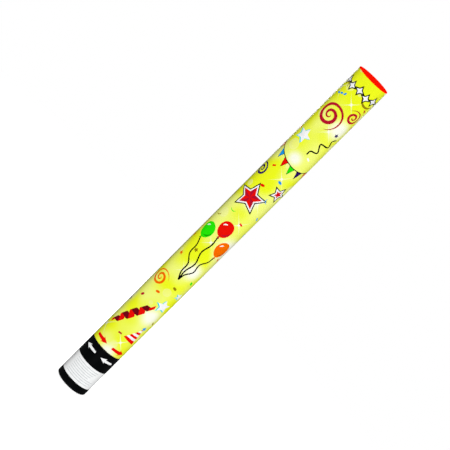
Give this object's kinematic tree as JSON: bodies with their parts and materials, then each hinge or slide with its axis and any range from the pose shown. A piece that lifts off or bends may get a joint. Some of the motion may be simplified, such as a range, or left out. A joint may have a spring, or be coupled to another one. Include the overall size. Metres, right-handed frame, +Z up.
{
  "type": "confetti popper",
  "caption": "Twist-to-fire compressed-air confetti popper: printed card barrel turning on a black grip, with an air cylinder, release plug, wads, foil confetti and a red muzzle cap.",
  "frame": {"origin": "centre of the base cap's foot, on the surface that the popper stands on", "axes": "+Z up the barrel towards the muzzle cap, -Y the printed front, +Y the glued laps of the wraps"},
  "size_m": [0.051, 0.0511, 0.6],
  "materials": {
    "printed_wrap": "gloss print",
    "grip_print": "satin print",
    "card": "spiral wound",
    "base_black": "moulded",
    "cap_red": "moulded",
    "nylon": "moulded",
    "collar_blue": "moulded",
    "valve_black": "moulded",
    "plug_white": "moulded",
    "cylinder_aluminium": "drawn",
    "steel": "ground",
    "spring_steel": "drawn wire",
    "rubber_black": "moulded",
    "rubber_red": "cut sheet",
    "wad_board": "die cut",
    "wad_foam_grey": "open cell",
    "foil_gold": "metal foil",
    "foil_silver": "metal foil"
  },
  "bodies": {
    "base": {"base_cap": "base_black", "grip_tube": "card", "grip_wrap": "grip_print", "swivel_bush": "nylon", "air_cylinder": "cylinder_aluminium", "fill_bung": "rubber_black", "valve_head": "valve_black", "head_gasket": "rubber_red", "valve_cage": "nylon", "retaining_ring": "steel", "plug_spring": "spring_steel"},
    "barrel": {"barrel_tube": "card", "barrel_wrap": "printed_wrap", "release_collar": "collar_blue"},
    "plug": {"release_plug": "plug_white", "plug_o_ring": "rubber_black", "cross_pin": "steel"},
    "charge": {"wad_card": "wad_board", "wad_foam": "wad_foam_grey", "confetti_gold": "foil_gold", "confetti_silver": "foil_silver"},
    "cap": {"muzzle_cap": "cap_red"}
  },
  "joints": [
    {"name": "barrel_twist", "type": "hinge", "parent": "base", "child": "barrel", "pos_m": [0, 0, 0.075], "axis": [0, 0, 1], "range_deg": [0, 90]},
    {"name": "plug_lift", "type": "slide", "parent": "base", "child": "plug", "axis": [0, 0, 1], "range_m": [0, 0.009], "deforming": ["plug_spring"]},
    {"name": "charge_slide", "type": "slide", "parent": "barrel", "child": "charge", "axis": [0, 0, 1], "range_m": [0, 0.42]},
    {"name": "cap_pop", "type": "slide", "parent": "barrel", "child": "cap", "axis": [0, 0, 1], "range_m": [0, 0.484]}
  ],
  "couplings": [
    {"joint": "plug_lift", "follows": "barrel_twist", "m_per_rad": 0.0057296},
    {"joint": "cap_pop", "follows": "charge_slide", "ratio": 1.15}
  ]
}
